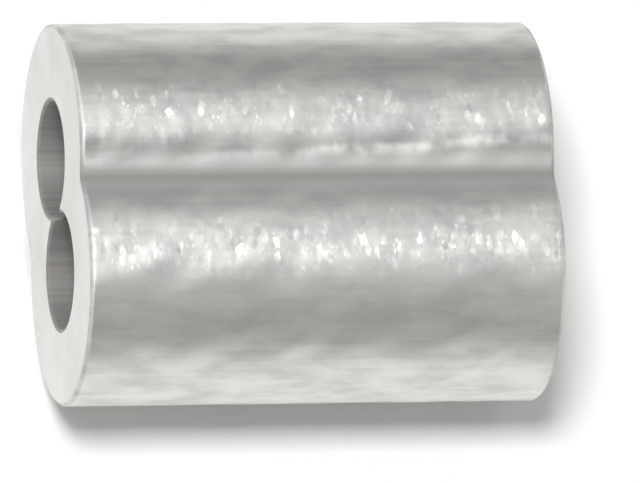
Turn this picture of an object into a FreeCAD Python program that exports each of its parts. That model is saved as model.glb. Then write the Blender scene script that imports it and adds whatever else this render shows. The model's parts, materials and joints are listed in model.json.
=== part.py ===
import FreeCAD, Part
import math
import os
import Sketcher
from FreeCAD import Vector

# A crimping sleeve for wire rope: one length of hourglass-shaped aluminium tube, cut square at both ends.
# It is two round barrels side by side. The rope goes out through one bore, round a thimble and back
# through the other, and a press closes the sleeve on both.
# Frame: +X along the bores, +Y from the tail bore to the live bore, +Z up through the thickness.
# The origin is the sleeve's centre, midway between the bores and between the ends.

NODE = "crimp_sleeve"
SHEET = "Sizes"

# Driving dimensions in millimetres: alias, value and meaning.
DIMENSIONS = [
    ("sleeve_length", 14.3, "end to end, 9/16 inch"),
    ("barrel_radius", 3.88, "outside of each barrel"),
    ("barrel_spacing", 3.68, "between the centres of the two barrels' outsides"),
    ("waist_radius", 0.4, "bottom of the groove between the barrels"),
    ("bore_radius", 1.71, "clears a 1/8 inch rope, 1.59 in radius"),
    ("bore_spacing", 3.46, "between the axes of the two bores"),
    ("ridge_radius", 0.06, "crest of the ridge where the bores meet"),
    ("outer_edge_radius", 0.12, "tumbled edge round the outside of each end"),
    ("bore_edge_size", 0.04, "broken edge round the mouth of the bores"),
]

START, END, CENTRE = 1, 2, 3  # a sketch's numbers for an arc's points
HORIZONTAL_AXIS, ORIGIN_POINT = -1, 1  # the sketch's own axis, whose first point is its origin
NEAR = 1e-6  # how far apart two equal lengths may come out


def make_sheet(doc):
    sheet = doc.addObject("Spreadsheet::Sheet", SHEET)
    for row, (alias, value, meaning) in enumerate(DIMENSIONS, start=1):
        sheet.set("A%d" % row, meaning)
        sheet.set("B%d" % row, str(value))
        sheet.setAlias("B%d" % row, alias)
    doc.recompute()
    return sheet


def origin_plane(body, role):
    return next(plane for plane in body.Origin.OriginFeatures if plane.Role == role)


def bind(thing, path, alias):
    thing.setExpression(path, "%s.%s" % (SHEET, alias))


def add_hourglass(sketch, sheet, lobe_alias, spacing_alias, neck_alias):
    # Two equal lobes on the horizontal axis, spacing apart, and an arc across each neck between them.
    # A neck arc touches both lobes from outside, so its centre is lobe + neck from each lobe's centre.
    lobe = sheet.get(lobe_alias)
    spacing = sheet.get(spacing_alias)
    neck = sheet.get(neck_alias)
    neck_height = math.sqrt((lobe + neck) ** 2 - (spacing / 2) ** 2)
    touch = math.atan2(neck_height, -spacing / 2)  # where the right lobe meets the upper neck arc

    def add_arc(x, y, radius, first, last):
        circle = Part.Circle(Vector(x, y, 0), Vector(0, 0, 1), radius)
        return sketch.addGeometry(Part.ArcOfCircle(circle, first, last), False)

    right = add_arc(spacing / 2, 0, lobe, -touch, touch)
    left = add_arc(-spacing / 2, 0, lobe, math.pi - touch, math.pi + touch)
    upper = add_arc(0, neck_height, neck, -touch, touch - math.pi)
    lower = add_arc(0, -neck_height, neck, math.pi - touch, touch)

    joins = [(right, END, upper, END), (upper, START, left, START), (left, END, lower, END),
             (lower, START, right, START)]
    for join in joins:
        sketch.addConstraint(Sketcher.Constraint("Tangent", *join))
    centres = (left, CENTRE, right, CENTRE)
    sketch.addConstraint(Sketcher.Constraint("Symmetric", *centres, HORIZONTAL_AXIS, ORIGIN_POINT))
    sketch.addConstraint(Sketcher.Constraint("PointOnObject", right, CENTRE, HORIZONTAL_AXIS))
    sketch.addConstraint(Sketcher.Constraint("Equal", right, left))
    sketch.addConstraint(Sketcher.Constraint("Equal", upper, lower))
    driven = [
        (Sketcher.Constraint("DistanceX", *centres, spacing), spacing_alias),
        (Sketcher.Constraint("Radius", right, lobe), lobe_alias),
        (Sketcher.Constraint("Radius", upper, neck), neck_alias),
    ]
    for constraint, alias in driven:
        index = sketch.addConstraint(constraint)
        bind(sketch, "Constraints[%d]" % index, alias)


def add_sketch(body, name):
    sketch = body.newObject("Sketcher::SketchObject", name)
    sketch.AttachmentSupport = [(origin_plane(body, "YZ_Plane"), "")]
    sketch.MapMode = "FlatFace"
    return sketch


def end_edges(shape, half_length, outside):
    # Names of the edges round both end faces: the outer outline's, or those of the bores' mouths.
    chosen = []
    for face in shape.Faces:
        box = face.BoundBox
        if box.XLength > NEAR or abs(abs(box.XMin) - half_length) > NEAR:
            continue
        for wire in face.Wires:
            if wire.isSame(face.OuterWire) == outside:
                chosen += wire.Edges
    return ["Edge%d" % number for number, edge in enumerate(shape.Edges, start=1)
            if any(edge.isSame(other) for other in chosen)]


def make_sleeve(doc, sheet):
    body = doc.addObject("PartDesign::Body", NODE)
    body.Label = NODE

    # The drawn tube: the outline of both barrels, carried along the bores.
    outline = add_sketch(body, "outline")
    add_hourglass(outline, sheet, "barrel_radius", "barrel_spacing", "waist_radius")
    bar = body.newObject("PartDesign::Pad", "bar")
    bar.Profile = outline
    bar.SideType = "Symmetric"
    bind(bar, "Length", "sleeve_length")
    doc.recompute()

    # The passage for both runs of rope, open to each other along the middle.
    passage = add_sketch(body, "passage")
    add_hourglass(passage, sheet, "bore_radius", "bore_spacing", "ridge_radius")
    bores = body.newObject("PartDesign::Pocket", "bores")
    bores.Profile = passage
    bores.SideType = "Symmetric"
    bind(bores, "Length", "sleeve_length")
    doc.recompute()

    half_length = sheet.get("sleeve_length") / 2
    outer_edge = body.newObject("PartDesign::Fillet", "outer_edge")
    outer_edge.Base = (bores, end_edges(bores.Shape, half_length, outside=True))
    bind(outer_edge, "Radius", "outer_edge_radius")
    doc.recompute()

    bore_edge = body.newObject("PartDesign::Chamfer", "bore_edge")
    bore_edge.Base = (outer_edge, end_edges(outer_edge.Shape, half_length, outside=False))
    bind(bore_edge, "Size", "bore_edge_size")
    body.Tip = bore_edge
    doc.recompute()

    steps = [bar, bores, outer_edge, bore_edge]
    for before, after in zip(steps, steps[1:]):
        removed = before.Shape.Volume - after.Shape.Volume
        print("%s takes away %.3f mm3" % (after.Name, removed))
        if removed <= 0:
            raise RuntimeError("%s cut nothing" % after.Name)
    return body


def check(doc, bodies):
    loose = [thing.Name for thing in doc.Objects
             if thing.isDerivedFrom("Sketcher::SketchObject") and not thing.FullyConstrained]
    if loose:
        raise RuntimeError("not fully constrained: %s" % loose)
    for thing in doc.Objects:
        if "Invalid" in thing.State or "Error" in thing.State:
            raise RuntimeError("%s failed: %s" % (thing.Name, thing.State))
    for body in bodies:
        if body.Shape.isNull() or not body.Shape.isValid() or len(body.Shape.Solids) != 1:
            raise RuntimeError("%s is not one valid solid" % body.Label)


doc = FreeCAD.newDocument("sleeve_model")
sheet = make_sheet(doc)
bodies = [make_sleeve(doc, sheet)]
doc.recompute()
check(doc, bodies)

os.makedirs("parts", exist_ok=True)
for body in bodies:
    body.Shape.exportStep("parts/%s.step" % body.Label)
    box = body.Shape.optimalBoundingBox()
    size = "%.2f x %.2f x %.2f mm" % (box.XLength, box.YLength, box.ZLength)
    print("%s: %s, %.1f mm3" % (body.Label, size, body.Shape.Volume))
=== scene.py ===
import json
import math

import bpy
import numpy as np
from mathutils import Matrix, Vector


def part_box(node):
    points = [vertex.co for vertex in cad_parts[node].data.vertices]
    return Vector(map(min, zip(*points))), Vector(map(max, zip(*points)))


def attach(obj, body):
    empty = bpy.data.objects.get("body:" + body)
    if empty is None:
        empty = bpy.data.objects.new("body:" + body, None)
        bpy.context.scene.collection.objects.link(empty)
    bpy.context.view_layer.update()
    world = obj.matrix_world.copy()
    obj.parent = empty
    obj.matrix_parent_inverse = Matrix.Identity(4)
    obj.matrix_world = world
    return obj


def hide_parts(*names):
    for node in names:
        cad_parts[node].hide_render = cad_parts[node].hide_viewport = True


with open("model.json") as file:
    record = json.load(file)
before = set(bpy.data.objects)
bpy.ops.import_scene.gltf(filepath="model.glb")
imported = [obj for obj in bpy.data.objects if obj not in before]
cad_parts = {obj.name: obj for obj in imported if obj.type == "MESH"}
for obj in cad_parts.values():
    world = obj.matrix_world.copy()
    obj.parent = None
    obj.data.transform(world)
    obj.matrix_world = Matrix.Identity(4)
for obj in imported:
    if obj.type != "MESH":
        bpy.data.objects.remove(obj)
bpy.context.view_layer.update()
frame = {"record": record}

mm = 0.001  # metres in a millimetre: the shapes below are worked out in millimetres
node = "crimp_sleeve"

# The sleeve's sizes come from the frame.
boxLow, boxHigh = (np.array(corner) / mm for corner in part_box(node))
mounts = {mount["name"]: mount for mount in frame["record"]["mounts"]}
boreRadius = mounts["live_bore"]["dims"]["r_mm"]
boreSpacing = (mounts["live_bore"]["pos_m"][1] - mounts["tail_bore"]["pos_m"][1]) / mm
sleeveLength = boxHigh[0] - boxLow[0]
barrelRadius = (boxHigh[2] - boxLow[2]) / 2
barrelSpacing = boxHigh[1] - boxLow[1] - 2 * barrelRadius

sleeveShape = {  # millimetres, unless a name says otherwise
    "waistRadius": 0.40,  # bottom of the groove between the barrels
    "ridgeRadius": 0.06,  # crest of the ridge between the bores
    "outerEdge": 0.12,  # tumbled edge round each end
    "mouthEdge": 0.10,  # worn edge round the bores' mouth
    "columnsOnLobe": 96,  # mesh columns on a quarter's lobe
    "columnsOnNeck": 8,  # and on its neck
    "crowding": 0.45,  # how much closer the columns lie at the waist than at the sides
    # mesh rows on each stretch of the way round the wall
    "skinRows": 158, "edgeRows": 6, "faceRows": 8, "mouthRows": 5, "boreRows": 32,
}
dents = {  # the marks of tumbling against other sleeves
    "count": 700,
    "width": (0.14, 0.30),  # half the size along the sleeve
    "height": (0.18, 0.46),  # half the size round the barrel
    "depth": (0.0015, 0.006),
    "kept": (0.4, 1.0),  # share of its depth that later knocks have left
    "margin": 1.1,  # how far round a dent the mesh is touched, as a share of the largest half size
    "lean": 25.0,  # degrees either way
    "crestTurn": 3.0,  # degrees: how far outwards from the crests the worn bands lie
    "crestSpread": 12.5,  # degrees: most lie this near the middle of a band
    "elsewhere": 0.08,  # share of a crest's dents that the sides get
    "seed": 11,
}
waves = {  # slow unevenness left by drawing: millimetres
    "height": 0.010,  # twice the root mean square of all the waves together
    "alongSleeve": (1.4, 4.5), "round": (1.2, 3.4),  # wavelengths
    "weight": (0.3, 1.0),  # one wave's size beside the others'
    "count": 26, "seed": 5,
}
grooveSkin = {  # millimetres, across the sleeve
    "grooveShadeWidth": 0.52,  # how far the groove's painted shade and rougher finish reach from its bottom
    "mattWidth": 0.26,  # the matt strip at its very bottom, painted darker still as shade
    "shelteredMiddle": 0.90, "shelteredWidth": 0.45,  # a smooth strip between the crests and the groove
}
rubLine = {  # a matt scuff along the far barrel, beside the groove: millimetres
    "fromY": 0.18, "toY": 1.05, "width": 0.17, "ripple": 0.05, "rippleLength": 4.3,
    "fade": 0.6,  # how much weaker it is at its far end
}
edgeWear = 0.7  # how matt the tumbled edges are, where the groove's bottom is 1


def hourglassOutline(steps, onLobe, lobe, spacing, neck, crowding):
    # One closed outline: four mirrored quarters, each from a lobe's tip to the neck's middle.
    # On the lobe: (spacing / 2, 0) + lobe * (cos a, sin a), for a from 0 to the touching angle t.
    # On the neck: (0, rise) + neck * (cos b, sin b), for b from t - 180 to -90 degrees, where
    # rise = sqrt((lobe + neck)^2 - (spacing / 2)^2) and t is that centre's angle seen from the lobe's.
    # lobe and neck are columns, so that each row of the sleeve has an outline of its own.
    rise = np.sqrt((lobe + neck) ** 2 - (spacing / 2) ** 2)
    touch = np.arctan2(rise, -spacing / 2)
    along = np.arange(onLobe) / onLobe
    a = touch * (along * (1 + crowding) - crowding * along ** 2)
    down = np.arange(steps - onLobe + 1) / (steps - onLobe)
    b = (touch - math.pi) + (math.pi / 2 - touch) * down
    y = np.hstack([spacing / 2 + lobe * np.cos(a), neck * np.cos(b)])
    z = np.hstack([lobe * np.sin(a), rise + neck * np.sin(b)])
    y = np.hstack([y[:, :-1], -y[:, :0:-1], -y[:, :-1], y[:, :0:-1]])
    z = np.hstack([z[:, :-1], z[:, :0:-1], -z[:, :-1], -z[:, :0:-1]])
    return y, z


def sleeveRows():
    # The long way round the wall, as rows (x, how far the outline is drawn in, how far the bore's
    # mouth is flared, share of the way from the outside to the bore): along the outside, round the
    # worn edge (a quarter circle), across the end face, round the mouth's edge, back along the bore.
    s = sleeveShape
    half, edge, mouth = sleeveLength / 2, s["outerEdge"], s["mouthEdge"]

    def steps(count):
        return np.arange(count) / count

    def band(x, drawnIn, flared, share):
        return np.stack(np.broadcast_arrays(x, drawnIn, flared, share), axis=1).astype(float)

    turn = steps(s["edgeRows"]) * math.pi / 2
    flare = steps(s["mouthRows"]) * math.pi / 2
    across = steps(s["faceRows"])
    skin = band((half - edge) * (2 * steps(s["skinRows"]) - 1), 0, mouth, 0)
    edgeBand = band(half - edge + edge * np.sin(turn), edge * (1 - np.cos(turn)), mouth, 0)
    faceBand = band(half, edge, mouth, across)
    mouthBand = band(half - mouth + mouth * np.cos(flare), edge, mouth * (1 - np.sin(flare)), 1)
    boreBand = band((half - mouth) * (1 - 2 * steps(s["boreRows"])), edge, 0, 1)
    flip = np.array([-1, 1, 1, 1])

    def mirrored(own, following):
        # the same band at the other end, walked the other way
        return (np.vstack([own[1:], following[:1]]) * flip)[::-1]

    bands = [skin, edgeBand, faceBand, mouthBand, boreBand, mirrored(mouthBand, boreBand),
             mirrored(faceBand, mouthBand), mirrored(edgeBand, faceBand)]
    kinds = [0, 0, 1, 2, 2, 2, 1, 0]  # of each band: 0 is skin, 1 cut end, 2 bore
    kindOfRow = np.repeat(kinds, [len(one) for one in bands])
    return np.vstack(bands), kindOfRow


def smoothSleeve(rows):
    # Each row's point is the outline's (1 - share) plus the bore's share.
    s = sleeveShape
    x, drawnIn, flared, share = (rows[:, i:i + 1] for i in range(4))
    steps, onLobe = s["columnsOnLobe"] + s["columnsOnNeck"], s["columnsOnLobe"]
    outer = hourglassOutline(steps, onLobe, barrelRadius - drawnIn, barrelSpacing,
                             s["waistRadius"] + drawnIn, s["crowding"])
    inner = hourglassOutline(steps, onLobe, boreRadius + flared, boreSpacing, s["ridgeRadius"], 0.0)
    y, z = (a * (1 - share) + b * share for a, b in zip(outer, inner))
    return np.stack([np.broadcast_to(x, y.shape), y, z], axis=2)


def gridNormals(points):
    # Unit normals of a grid that closes both ways: the cross product of its central differences.
    alongRows = np.roll(points, -1, axis=0) - np.roll(points, 1, axis=0)
    alongColumns = np.roll(points, -1, axis=1) - np.roll(points, 1, axis=1)
    normal = np.cross(alongColumns, alongRows)
    return normal / np.linalg.norm(normal, axis=2, keepdims=True)


def roundDistance(points):
    # How far round the outside each column lies, in millimetres from the first.
    steps = np.linalg.norm(np.roll(points, -1, axis=0) - points, axis=1)
    return np.concatenate([[0], np.cumsum(steps)]), steps.sum()


def wavyHeight(x, around, perimeter):
    # A sum of low sine waves, each with a whole number of turns round the sleeve, so that it closes.
    w = waves
    draw = np.random.default_rng(w["seed"])
    along = 2 * math.pi / draw.uniform(*w["alongSleeve"], w["count"])
    turns = np.round(perimeter / draw.uniform(*w["round"], w["count"]))
    phase = draw.uniform(0, 2 * math.pi, w["count"])
    size = draw.uniform(*w["weight"], w["count"])
    size *= w["height"] / np.sqrt((size ** 2).sum() / 2)
    angle = (x[..., None] * along + around[..., None] * (2 * math.pi / perimeter) * turns + phase)
    return (np.sin(angle) * size).sum(axis=-1) / 2


def dentedHeight(x, around, perimeter, lift):
    # Each dent is a shallow bowl, depth * (1 - r^2)^2 for r < 1, where r is the distance from its
    # middle over its half sizes, turned by its lean. lift is how open to knocks each column is.
    d = dents
    draw = np.random.default_rng(d["seed"])
    count = d["count"]
    chance = np.cumsum(lift)
    column = np.searchsorted(chance / chance[-1], draw.uniform(0, 1, count))
    middleRound = around[0, column]
    middleX = draw.uniform(x.min(), x.max(), count)
    width = draw.uniform(*d["width"], count)
    height = draw.uniform(*d["height"], count)
    depth = draw.uniform(*d["depth"], count) * draw.uniform(*d["kept"], count)
    lean = np.radians(draw.normal(0, d["lean"] / 2, count))
    bowl = np.zeros(x.shape)
    reach = d["height"][1] * d["margin"]
    for i in range(count):
        rows = np.flatnonzero(abs(x[:, 0] - middleX[i]) < reach)
        gap = (around[0] - middleRound[i] + perimeter / 2) % perimeter - perimeter / 2
        columns = np.flatnonzero(abs(gap) < reach)
        window = np.ix_(rows, columns)
        dx, dr = x[window] - middleX[i], gap[columns][None, :]
        u = (dx * math.cos(lean[i]) + dr * math.sin(lean[i])) / width[i]
        v = (-dx * math.sin(lean[i]) + dr * math.cos(lean[i])) / height[i]
        bowl[window] -= depth[i] * np.clip(1 - u ** 2 - v ** 2, 0, None) ** 2
    return bowl


def makeMesh(name, points, kindOfRow, materials, attributes):
    # Four-sided faces on a grid of points, each joining (row, column), (row, column + 1),
    # (row + 1, column + 1) and (row + 1, column). The last row joins the first, and so does the last
    # column, so the mesh is closed. A row of faces has its row's kind of material.
    rows, columns = points.shape[:2]
    index = np.arange(rows * columns).reshape(rows, columns)
    nextRow, nextColumn = np.roll(index, -1, axis=0), np.roll(index, -1, axis=1)
    nextBoth = np.roll(nextRow, -1, axis=1)
    quads = np.stack([index, nextColumn, nextBoth, nextRow], axis=2).reshape(-1, 4)
    mesh = bpy.data.meshes.new(name)
    mesh.vertices.add(rows * columns)
    mesh.vertices.foreach_set("co", (points * mm).astype(np.float32).ravel())
    mesh.loops.add(quads.size)
    mesh.loops.foreach_set("vertex_index", quads.ravel().astype(np.int32))
    mesh.polygons.add(len(quads))
    mesh.polygons.foreach_set("loop_start", np.arange(0, quads.size, 4, dtype=np.int32))
    mesh.update(calc_edges=True)
    for material in materials:
        mesh.materials.append(material)
    mesh.polygons.foreach_set("material_index", np.repeat(kindOfRow, columns).astype(np.int32))
    mesh.polygons.foreach_set("use_smooth", np.ones(len(quads), bool))
    for key, values in attributes.items():
        layer = mesh.attributes.new(key, "FLOAT", "POINT")
        layer.data.foreach_set("value", values.astype(np.float32).ravel())
    mesh.validate()
    piece = bpy.data.objects.new(name, mesh)
    bpy.context.scene.collection.objects.link(piece)
    return piece


def linearColour(hexColour):
    # An sRGB hex colour as linear red, green, blue and 1.
    parts = [int(hexColour[i:i + 2], 16) / 255 for i in (1, 3, 5)]
    return [p / 12.92 if p <= 0.04045 else ((p + 0.055) / 1.055) ** 2.4 for p in parts] + [1.0]


def addNode(tree, kind, settings=None, links=None):
    # Settings name a node's own property, or an input by name or number. Links feed an input.
    made = tree.nodes.new(kind)
    for key, value in (settings or {}).items():
        if isinstance(key, str) and hasattr(made, key):
            setattr(made, key, value)
        else:
            made.inputs[key].default_value = value
    for key, source in (links or {}).items():
        tree.links.new(source, made.inputs[key])
    return made


def newMaterial(name):
    # A material with an empty node tree.
    material = bpy.data.materials.new(name)
    material.use_nodes = True
    tree = material.node_tree
    tree.nodes.clear()
    return material, tree


def stretched(tree, along, across):
    # Object coordinates in units of a grain that is "along" millimetres long and "across" wide.
    spot = addNode(tree, "ShaderNodeTexCoord")
    scale = (1 / (along * mm), 1 / (across * mm), 1 / (across * mm))
    place = addNode(tree, "ShaderNodeMapping", {"Scale": scale}, {"Vector": spot.outputs["Object"]})
    return place.outputs[0]


skinFinish = {  # colours, and sizes in millimetres
    # The two greys after the skin's are painted shade: the groove's, and a darker one at its very bottom.
    "colour": "#E0E0DC", "dulled": "#CBCCCA", "groove": "#C4C5C4", "bottom": "#B6B6B4",
    "roughness": 0.39, "dullRoughness": 0.42,
    "shelteredRoughness": 0.27, "grooveRoughness": 0.58, "mattRoughness": 0.90,
    "patch": (1.5, 0.7),  # cloudy patches, along the sleeve and round it
    "streak": (6.0, 0.16), "streakHeight": 0.0006,  # drawing lines
    "streakShare": 0.25,  # of the patches' effect on colour and roughness
    "cloudFrom": (0.38, 0.62),  # the noise's values that count as fully dulled and fully clean
    "grain": 0.05, "grainHeight": 0.0010,  # finer on the metal, and drawn this coarse so that it shows
    "facet": (0.16, 0.30), "facetTilt": 0.30,  # flat knocks on the crests, and how far they lean
    "nick": (0.07, 0.12), "nickTilt": 0.14,
    "facetBlend": 0.45,  # how softly one facet runs into the next
    "knockedFrom": (0.78, 0.55, 0.5),  # a cell of this colour doesn't lean
    "fewLeanFar": 3.0,  # the power that makes most knocks slight
    "scuff": (0.55, 0.80),  # patches where the knocks lie thick
    "scuffFrom": (0.36, 0.60), "scuffLeast": 0.15,  # the noise's values, and the knocks left between them
    "burnished": 0.37, "burnishedAt": 0.6,  # a facet's roughness, and how hard a hit makes it so
    "scuffRoughness": 0.66,
}


def drawnAluminium():
    # Plain 1xxx aluminium, drawn through a die and tumbled: a satin grey-white skin with faint lines
    # along it. Tumbling knocks small burnished facets into the crests, and each one takes the light
    # at its own angle. Beside the groove, where little rubs it, the skin is as smooth as the die left it.
    # The groove is painted a darker grey as shade, and its bottom darker still.
    f = skinFinish
    material, tree = newMaterial("drawn tumbled aluminium")
    crest = addNode(tree, "ShaderNodeAttribute", {"attribute_name": "crest"}).outputs["Fac"]
    groove = addNode(tree, "ShaderNodeAttribute", {"attribute_name": "groove"}).outputs["Fac"]
    sheltered = addNode(tree, "ShaderNodeAttribute", {"attribute_name": "sheltered"}).outputs["Fac"]
    matt = addNode(tree, "ShaderNodeAttribute", {"attribute_name": "matt"}).outputs["Fac"]
    rub = addNode(tree, "ShaderNodeAttribute", {"attribute_name": "rub"}).outputs["Fac"]
    patch = addNode(tree, "ShaderNodeTexNoise", {"Scale": 1.0, "Detail": 3.0},
                    {"Vector": stretched(tree, *f["patch"])}).outputs[0]
    streak = addNode(tree, "ShaderNodeTexNoise", {"Scale": 1.0, "Detail": 3.0},
                     {"Vector": stretched(tree, *f["streak"])}).outputs[0]
    grain = addNode(tree, "ShaderNodeTexNoise", {"Scale": 1.0, "Detail": 2.0},
                    {"Vector": stretched(tree, f["grain"], f["grain"])}).outputs[0]
    scuff = addNode(tree, "ShaderNodeTexNoise", {"Scale": 1.0, "Detail": 3.0},
                    {"Vector": stretched(tree, *f["scuff"])}).outputs[0]

    # How thickly the knocks lie: the crest's own share, broken up by the scuffs.
    broken = addNode(tree, "ShaderNodeMapRange",
                     {"From Min": f["scuffFrom"][0], "From Max": f["scuffFrom"][1],
                      "To Min": f["scuffLeast"]},
                     {"Value": scuff}).outputs[0]
    knocked = addNode(tree, "ShaderNodeMath", {"operation": "MULTIPLY"}, {0: crest, 1: broken}).outputs[0]

    # Each cell leans its own way, and a few lean far: normal + knocked * tilt * blue^3 * (cell - middle),
    # where cell is the cell's random colour and blue its third part. The sleeve was knocked more from
    # one end, so the middle lies to that side. Only the larger facets, the first pair, are burnished.
    normal = addNode(tree, "ShaderNodeNewGeometry").outputs["Normal"]
    struck = []
    for size, tilt in ((f["facet"], f["facetTilt"]), (f["nick"], f["nickTilt"])):
        cell = addNode(tree, "ShaderNodeTexVoronoi", {"feature": "SMOOTH_F1", "Scale": 1.0,
                                                      "Smoothness": f["facetBlend"]},
                       {"Vector": stretched(tree, *size)})
        blue = addNode(tree, "ShaderNodeSeparateXYZ", links={0: cell.outputs["Color"]}).outputs[2]
        cube = addNode(tree, "ShaderNodeMath", {"operation": "POWER", 1: f["fewLeanFar"]},
                       {0: blue}).outputs[0]
        hit = addNode(tree, "ShaderNodeMath", {"operation": "MULTIPLY"}, {0: knocked, 1: cube}).outputs[0]
        amount = addNode(tree, "ShaderNodeMath", {"operation": "MULTIPLY", 1: tilt}, {0: hit}).outputs[0]
        lean = addNode(tree, "ShaderNodeVectorMath", {"operation": "SUBTRACT", 1: f["knockedFrom"]},
                       {0: cell.outputs["Color"]}).outputs[0]
        leant = addNode(tree, "ShaderNodeVectorMath", {"operation": "SCALE"},
                        {0: lean, "Scale": amount}).outputs[0]
        normal = addNode(tree, "ShaderNodeVectorMath", {"operation": "ADD"},
                         {0: normal, 1: leant}).outputs[0]
        struck.append(hit)
    normal = addNode(tree, "ShaderNodeVectorMath", {"operation": "NORMALIZE"}, {0: normal}).outputs[0]
    grainBump = addNode(tree, "ShaderNodeBump", {"Distance": f["grainHeight"] * mm, "Strength": 1.0},
                        {"Height": grain, "Normal": normal}).outputs[0]
    streakBump = addNode(tree, "ShaderNodeBump", {"Distance": f["streakHeight"] * mm, "Strength": 1.0},
                         {"Height": streak, "Normal": grainBump}).outputs[0]

    cloud = addNode(tree, "ShaderNodeMath", {"operation": "MULTIPLY_ADD", 1: f["streakShare"]},
                    {0: streak, 2: patch}).outputs[0]
    even = addNode(tree, "ShaderNodeMapRange",
                   {"From Min": f["cloudFrom"][0] + f["streakShare"] / 2,
                    "From Max": f["cloudFrom"][1] + f["streakShare"] / 2},
                   {"Value": cloud}).outputs[0]
    skin = addNode(tree, "ShaderNodeMix", {"data_type": "RGBA", 6: linearColour(f["dulled"]),
                                           7: linearColour(f["colour"])}, {0: even}).outputs[2]
    # Painted shade: the groove is mixed to a darker grey, and its very bottom to a darker one still.
    flank = addNode(tree, "ShaderNodeMix", {"data_type": "RGBA", 7: linearColour(f["groove"])},
                    {0: groove, 6: skin}).outputs[2]
    creaseShadeAmount = addNode(tree, "ShaderNodeMath", {"operation": "MULTIPLY"}, {0: groove, 1: matt}).outputs[0]
    colour = addNode(tree, "ShaderNodeMix", {"data_type": "RGBA", 7: linearColour(f["bottom"])},
                     {0: creaseShadeAmount, 6: flank}).outputs[2]
    rough = addNode(tree, "ShaderNodeMapRange", {"To Min": f["dullRoughness"], "To Max": f["roughness"]},
                    {"Value": even}).outputs[0]
    shine = addNode(tree, "ShaderNodeMapRange", {"From Max": f["burnishedAt"], "To Max": f["burnished"]},
                    {"Value": struck[0], "To Min": rough}).outputs[0]
    patchyRub = addNode(tree, "ShaderNodeMath", {"operation": "MULTIPLY"}, {0: rub, 1: broken}).outputs[0]
    roughness = shine
    for place, own in ((sheltered, "shelteredRoughness"), (groove, "grooveRoughness"),
                       (patchyRub, "scuffRoughness"), (matt, "mattRoughness")):
        roughness = addNode(tree, "ShaderNodeMapRange", {"To Max": f[own]},
                            {"Value": place, "To Min": roughness}).outputs[0]
    shader = addNode(tree, "ShaderNodeBsdfPrincipled", {"Metallic": 1.0},
                     {"Base Color": colour, "Roughness": roughness, "Normal": streakBump})
    addNode(tree, "ShaderNodeOutputMaterial", links={"Surface": shader.outputs[0]})
    return material


cutFinish = {  # colours, and sizes in millimetres
    "colour": "#F0F0EF", "smeared": "#D2D2CF", "roughness": (0.50, 0.62), "smear": 1.6,
    "lineWidth": 0.06, "lineLength": 2.5, "lineHeight": 0.0015,  # the saw's marks
    "lineTurn": 0.25,  # radians
}


def sawnAluminium():
    # The cut ends: fine straight marks of the saw, bright and even, because the metal is fresh.
    f = cutFinish
    material, tree = newMaterial("sawn aluminium")
    spot = addNode(tree, "ShaderNodeTexCoord")
    scale = (1 / mm, 1 / (f["lineLength"] * mm), 1 / (f["lineWidth"] * mm))
    place = addNode(tree, "ShaderNodeMapping", {"Scale": scale, "Rotation": (f["lineTurn"], 0, 0)},
                    {"Vector": spot.outputs["Object"]})
    marks = addNode(tree, "ShaderNodeTexNoise", {"Scale": 1.0, "Detail": 3.0},
                    {"Vector": place.outputs[0]})
    smear = addNode(tree, "ShaderNodeTexNoise", {"Scale": 1.0, "Detail": 2.0},
                    {"Vector": stretched(tree, f["smear"], f["smear"])})
    colour = addNode(tree, "ShaderNodeMix", {"data_type": "RGBA", 6: linearColour(f["smeared"]),
                                             7: linearColour(f["colour"])}, {0: smear.outputs[0]})
    rough = addNode(tree, "ShaderNodeMapRange",
                    {"To Min": f["roughness"][0], "To Max": f["roughness"][1]},
                    {"Value": smear.outputs[0]})
    bump = addNode(tree, "ShaderNodeBump", {"Distance": f["lineHeight"] * mm, "Strength": 1.0},
                   {"Height": marks.outputs[0]})
    shader = addNode(tree, "ShaderNodeBsdfPrincipled", {"Metallic": 1.0},
                     {"Base Color": colour.outputs[2], "Roughness": rough.outputs[0],
                      "Normal": bump.outputs[0]})
    addNode(tree, "ShaderNodeOutputMaterial", links={"Surface": shader.outputs[0]})
    return material


boreFinish = {  # colours, painted darker than the skin as shade inside the bores, and sizes in millimetres
    "colour": "#C0BEBC", "dulled": "#999795", "roughness": 0.80,
    "lineWidth": 0.12, "lineLength": 20.0, "lineHeight": 0.006,
}


def boreAluminium():
    # The bores' wall as the die leaves it: long scored lines; its colours are painted darker as shade
    # inside the bores.
    f = boreFinish
    material, tree = newMaterial("die scored aluminium with painted shade")
    lines = addNode(tree, "ShaderNodeTexNoise", {"Scale": 1.0, "Detail": 3.0},
                    {"Vector": stretched(tree, f["lineLength"], f["lineWidth"])})
    # Painted shade: both greys are darker than the skin's, as shade inside the bores; the scored lines
    # mix them.
    colour = addNode(tree, "ShaderNodeMix", {"data_type": "RGBA", 6: linearColour(f["dulled"]),
                                             7: linearColour(f["colour"])}, {0: lines.outputs[0]})
    bump = addNode(tree, "ShaderNodeBump", {"Distance": f["lineHeight"] * mm, "Strength": 1.0},
                   {"Height": lines.outputs[0]})
    shader = addNode(tree, "ShaderNodeBsdfPrincipled", {"Metallic": 1.0, "Roughness": f["roughness"]},
                     {"Base Color": colour.outputs[2], "Normal": bump.outputs[0]})
    addNode(tree, "ShaderNodeOutputMaterial", links={"Surface": shader.outputs[0]})
    return material


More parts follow.
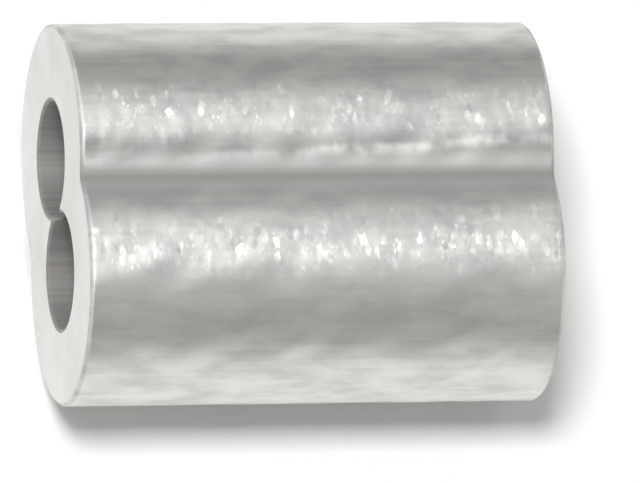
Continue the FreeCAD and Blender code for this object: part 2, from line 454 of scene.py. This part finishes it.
def makeSleeve():
    rows, kindOfRow = sleeveRows()
    points = smoothSleeve(rows)
    normal = gridNormals(points)
    drawnIn, share = rows[:, 1:2], rows[:, 3:4]
    distance, perimeter = roundDistance(smoothSleeve(rows[:1])[0])
    around = np.broadcast_to(distance[:-1], points.shape[:2])
    x = points[..., 0]
    onSkin = (share == 0) * np.clip(1 - drawnIn / sleeveShape["outerEdge"], 0, 1)
    # The skin's slope in the middle of the sleeve, in degrees: 0 on the crests, and more outwards.
    middleRow = sleeveShape["skinRows"] // 2
    outwards = normal[middleRow, :, 1] * np.sign(points[middleRow, :, 1])
    slope = np.degrees(np.arctan2(outwards, abs(normal[middleRow, :, 2])))
    crest = np.exp(-((slope - dents["crestTurn"]) / dents["crestSpread"]) ** 2)
    lift = (crest + dents["elsewhere"]) * np.diff(distance)
    bowl = dentedHeight(x, around, perimeter, lift)
    height = (bowl + wavyHeight(x, around, perimeter)) * onSkin
    height -= height.max()
    height *= onSkin
    g = grooveSkin
    # Masks: the groove's painted shade and rougher finish; the matt strip at its bottom, painted darker
    # still, and the matt edges.
    groove = np.exp(-(points[..., 1] / g["grooveShadeWidth"]) ** 2) * (share == 0)
    matt = np.exp(-(points[..., 1] / g["mattWidth"]) ** 2)
    matt = np.maximum(matt, edgeWear * (drawnIn > 0)) * (share == 0)
    sheltered = np.exp(-((points[..., 1] - g["shelteredMiddle"]) / g["shelteredWidth"]) ** 2) * onSkin
    # The scuff's middle runs straight from one end to the other, but for a sine ripple.
    r = rubLine
    along = x / sleeveLength + 0.5
    middle = (r["fromY"] + (r["toY"] - r["fromY"]) * along
              + r["ripple"] * np.sin(2 * math.pi * x / r["rippleLength"]))
    rub = np.exp(-((points[..., 1] - middle) / r["width"]) ** 2) * (1 - r["fade"] * along)
    rub *= (points[..., 2] > 0) * onSkin
    points = points + normal * height[..., None]
    attributes = {"crest": crest[None, :] * onSkin, "groove": groove, "matt": matt,
                  "sheltered": sheltered, "rub": rub}
    materials = [drawnAluminium(), sawnAluminium(), boreAluminium()]
    piece = makeMesh("sleeve_body", points, kindOfRow, materials, attributes)
    print("sleeve:", len(piece.data.polygons) * 2, "triangles, dents down to",
          round(float(height.min()), 4), "mm")
    return piece


sleeve = makeSleeve()
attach(sleeve, "root")
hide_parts(node)

studio = {
    "floorColour": "#F5F4F4", "floorSize": 3.0,  # metres
    "floorRoughness": (0.85, 0.95), "floorSpecular": 0.1,
    "fibresPerMetre": 400.0,
    "surround": 0.35,  # grey of the dim room
}
softboxes = {  # direction that it hangs in, distance and size in metres, brightness
    "key": {"towards": (-0.305, 0.004, 1.0), "distance": 0.7, "size": (0.16, 0.16), "brightness": 46.5},
    "zenith": {"towards": (0.27, 0.08, 1.0), "distance": 0.6, "size": (0.20, 0.20), "brightness": 0.39},
    "back": {"towards": (0.15, 0.55, 1.0), "distance": 0.6, "size": (0.50, 0.14), "brightness": 0.64},
    "frontFill": {"towards": (1.0, -0.7, 0.6), "distance": 0.7, "size": (0.5, 0.5), "brightness": 0.60,
                  "colour": "#FFF4EA"},
}


def makeFloor():
    # White card: even and matt, so that it shows only the sleeve's shadow.
    material, tree = newMaterial("white card")
    spot = addNode(tree, "ShaderNodeTexCoord")
    fibre = addNode(tree, "ShaderNodeTexNoise", {"Scale": studio["fibresPerMetre"], "Detail": 2.0},
                    {"Vector": spot.outputs["Object"]})
    low, high = studio["floorRoughness"]
    rough = addNode(tree, "ShaderNodeMapRange", {"To Min": low, "To Max": high},
                    {"Value": fibre.outputs[0]})
    shader = addNode(tree, "ShaderNodeBsdfPrincipled",
                     {"Base Color": linearColour(studio["floorColour"]),
                      "Specular IOR Level": studio["floorSpecular"]},
                     {"Roughness": rough.outputs[0]})
    addNode(tree, "ShaderNodeOutputMaterial", links={"Surface": shader.outputs[0]})
    half, level = studio["floorSize"] / 2, boxLow[2] * mm
    corners = [(-half, -half, level), (half, -half, level), (half, half, level), (-half, half, level)]
    mesh = bpy.data.meshes.new("floor_card")
    mesh.from_pydata(corners, [], [(0, 1, 2, 3)])
    mesh.materials.append(material)
    card = bpy.data.objects.new("floor_card", mesh)
    bpy.context.scene.collection.objects.link(card)
    print("floor:", studio["floorSize"], "m across")


def aimed(thing, location, towards):
    # Looks from location at a point, as lamps do, along its own -Z.
    thing.location = location
    thing.rotation_euler = (Vector(towards) - Vector(location)).to_track_quat("-Z", "Y").to_euler()


def makeLights():
    # A lamp's energy is its brightness times pi times its area.
    for name, box in softboxes.items():
        lamp = bpy.data.lights.new(name, "AREA")
        lamp.shape = "RECTANGLE"
        lamp.size, lamp.size_y = box["size"]
        lamp.energy = box["brightness"] * math.pi * lamp.size * lamp.size_y
        lamp.color = linearColour(box.get("colour", "#FFFFFF"))[:3]
        thing = bpy.data.objects.new(name, lamp)
        bpy.context.scene.collection.objects.link(thing)
        direction = np.array(box["towards"]) / np.linalg.norm(box["towards"])
        aimed(thing, tuple(direction * box["distance"]), (0, 0, 0))
    world = bpy.data.worlds.new("dim studio")
    bpy.context.scene.world = world
    world.use_nodes = True
    background = world.node_tree.nodes["Background"]
    background.inputs["Color"].default_value = (1, 1, 1, 1)
    background.inputs["Strength"].default_value = studio["surround"]
    print("lights:", ", ".join(softboxes))


cameraView = {  # degrees, and millimetres
    "yaw": 14.6, "pitch": 18.0, "roll": 0.545,
    "distance": 317.0, "viewWidth": 18.86,  # how wide the view is at the sleeve
    "aimRight": 0.835, "aimUp": -0.843,  # where the view's middle is, from the sleeve's
    "sensor": 36,
    "nearest": 0.02, "farthest": 20,  # metres: nothing outside these is drawn
}


def makeCamera():
    # Seen from the camera, the sleeve's +X is turned yaw away and its +Y is tipped pitch back:
    # right = (cos yaw, -sin pitch sin yaw, cos pitch sin yaw), up = (0, cos pitch, sin pitch),
    # and then both turn by roll.
    v = cameraView
    yaw, pitch, roll = (math.radians(v[key]) for key in ("yaw", "pitch", "roll"))
    right = np.array([math.cos(yaw), -math.sin(pitch) * math.sin(yaw), math.cos(pitch) * math.sin(yaw)])
    up = np.array([0, math.cos(pitch), math.sin(pitch)])
    right, up = (right * math.cos(roll) - up * math.sin(roll),
                 right * math.sin(roll) + up * math.cos(roll))
    back = np.cross(right, up)
    place = (back * v["distance"] + right * v["aimRight"] + up * v["aimUp"]) * mm
    camera = bpy.data.cameras.new("camera")
    camera.sensor_width = v["sensor"]
    camera.lens = camera.sensor_width * v["distance"] / v["viewWidth"]
    camera.clip_start, camera.clip_end = v["nearest"], v["farthest"]
    thing = bpy.data.objects.new("camera", camera)
    bpy.context.scene.collection.objects.link(thing)
    axes = np.stack([right, up, back], axis=1)
    rows = [list(row) + [part] for row, part in zip(axes, place)]
    thing.matrix_world = Matrix(rows + [[0, 0, 0, 1]])
    bpy.context.scene.camera = thing
    print("camera:", v["distance"], "mm away")


makeFloor()
makeLights()
makeCamera()
bpy.context.scene.view_settings.view_transform = "Standard"
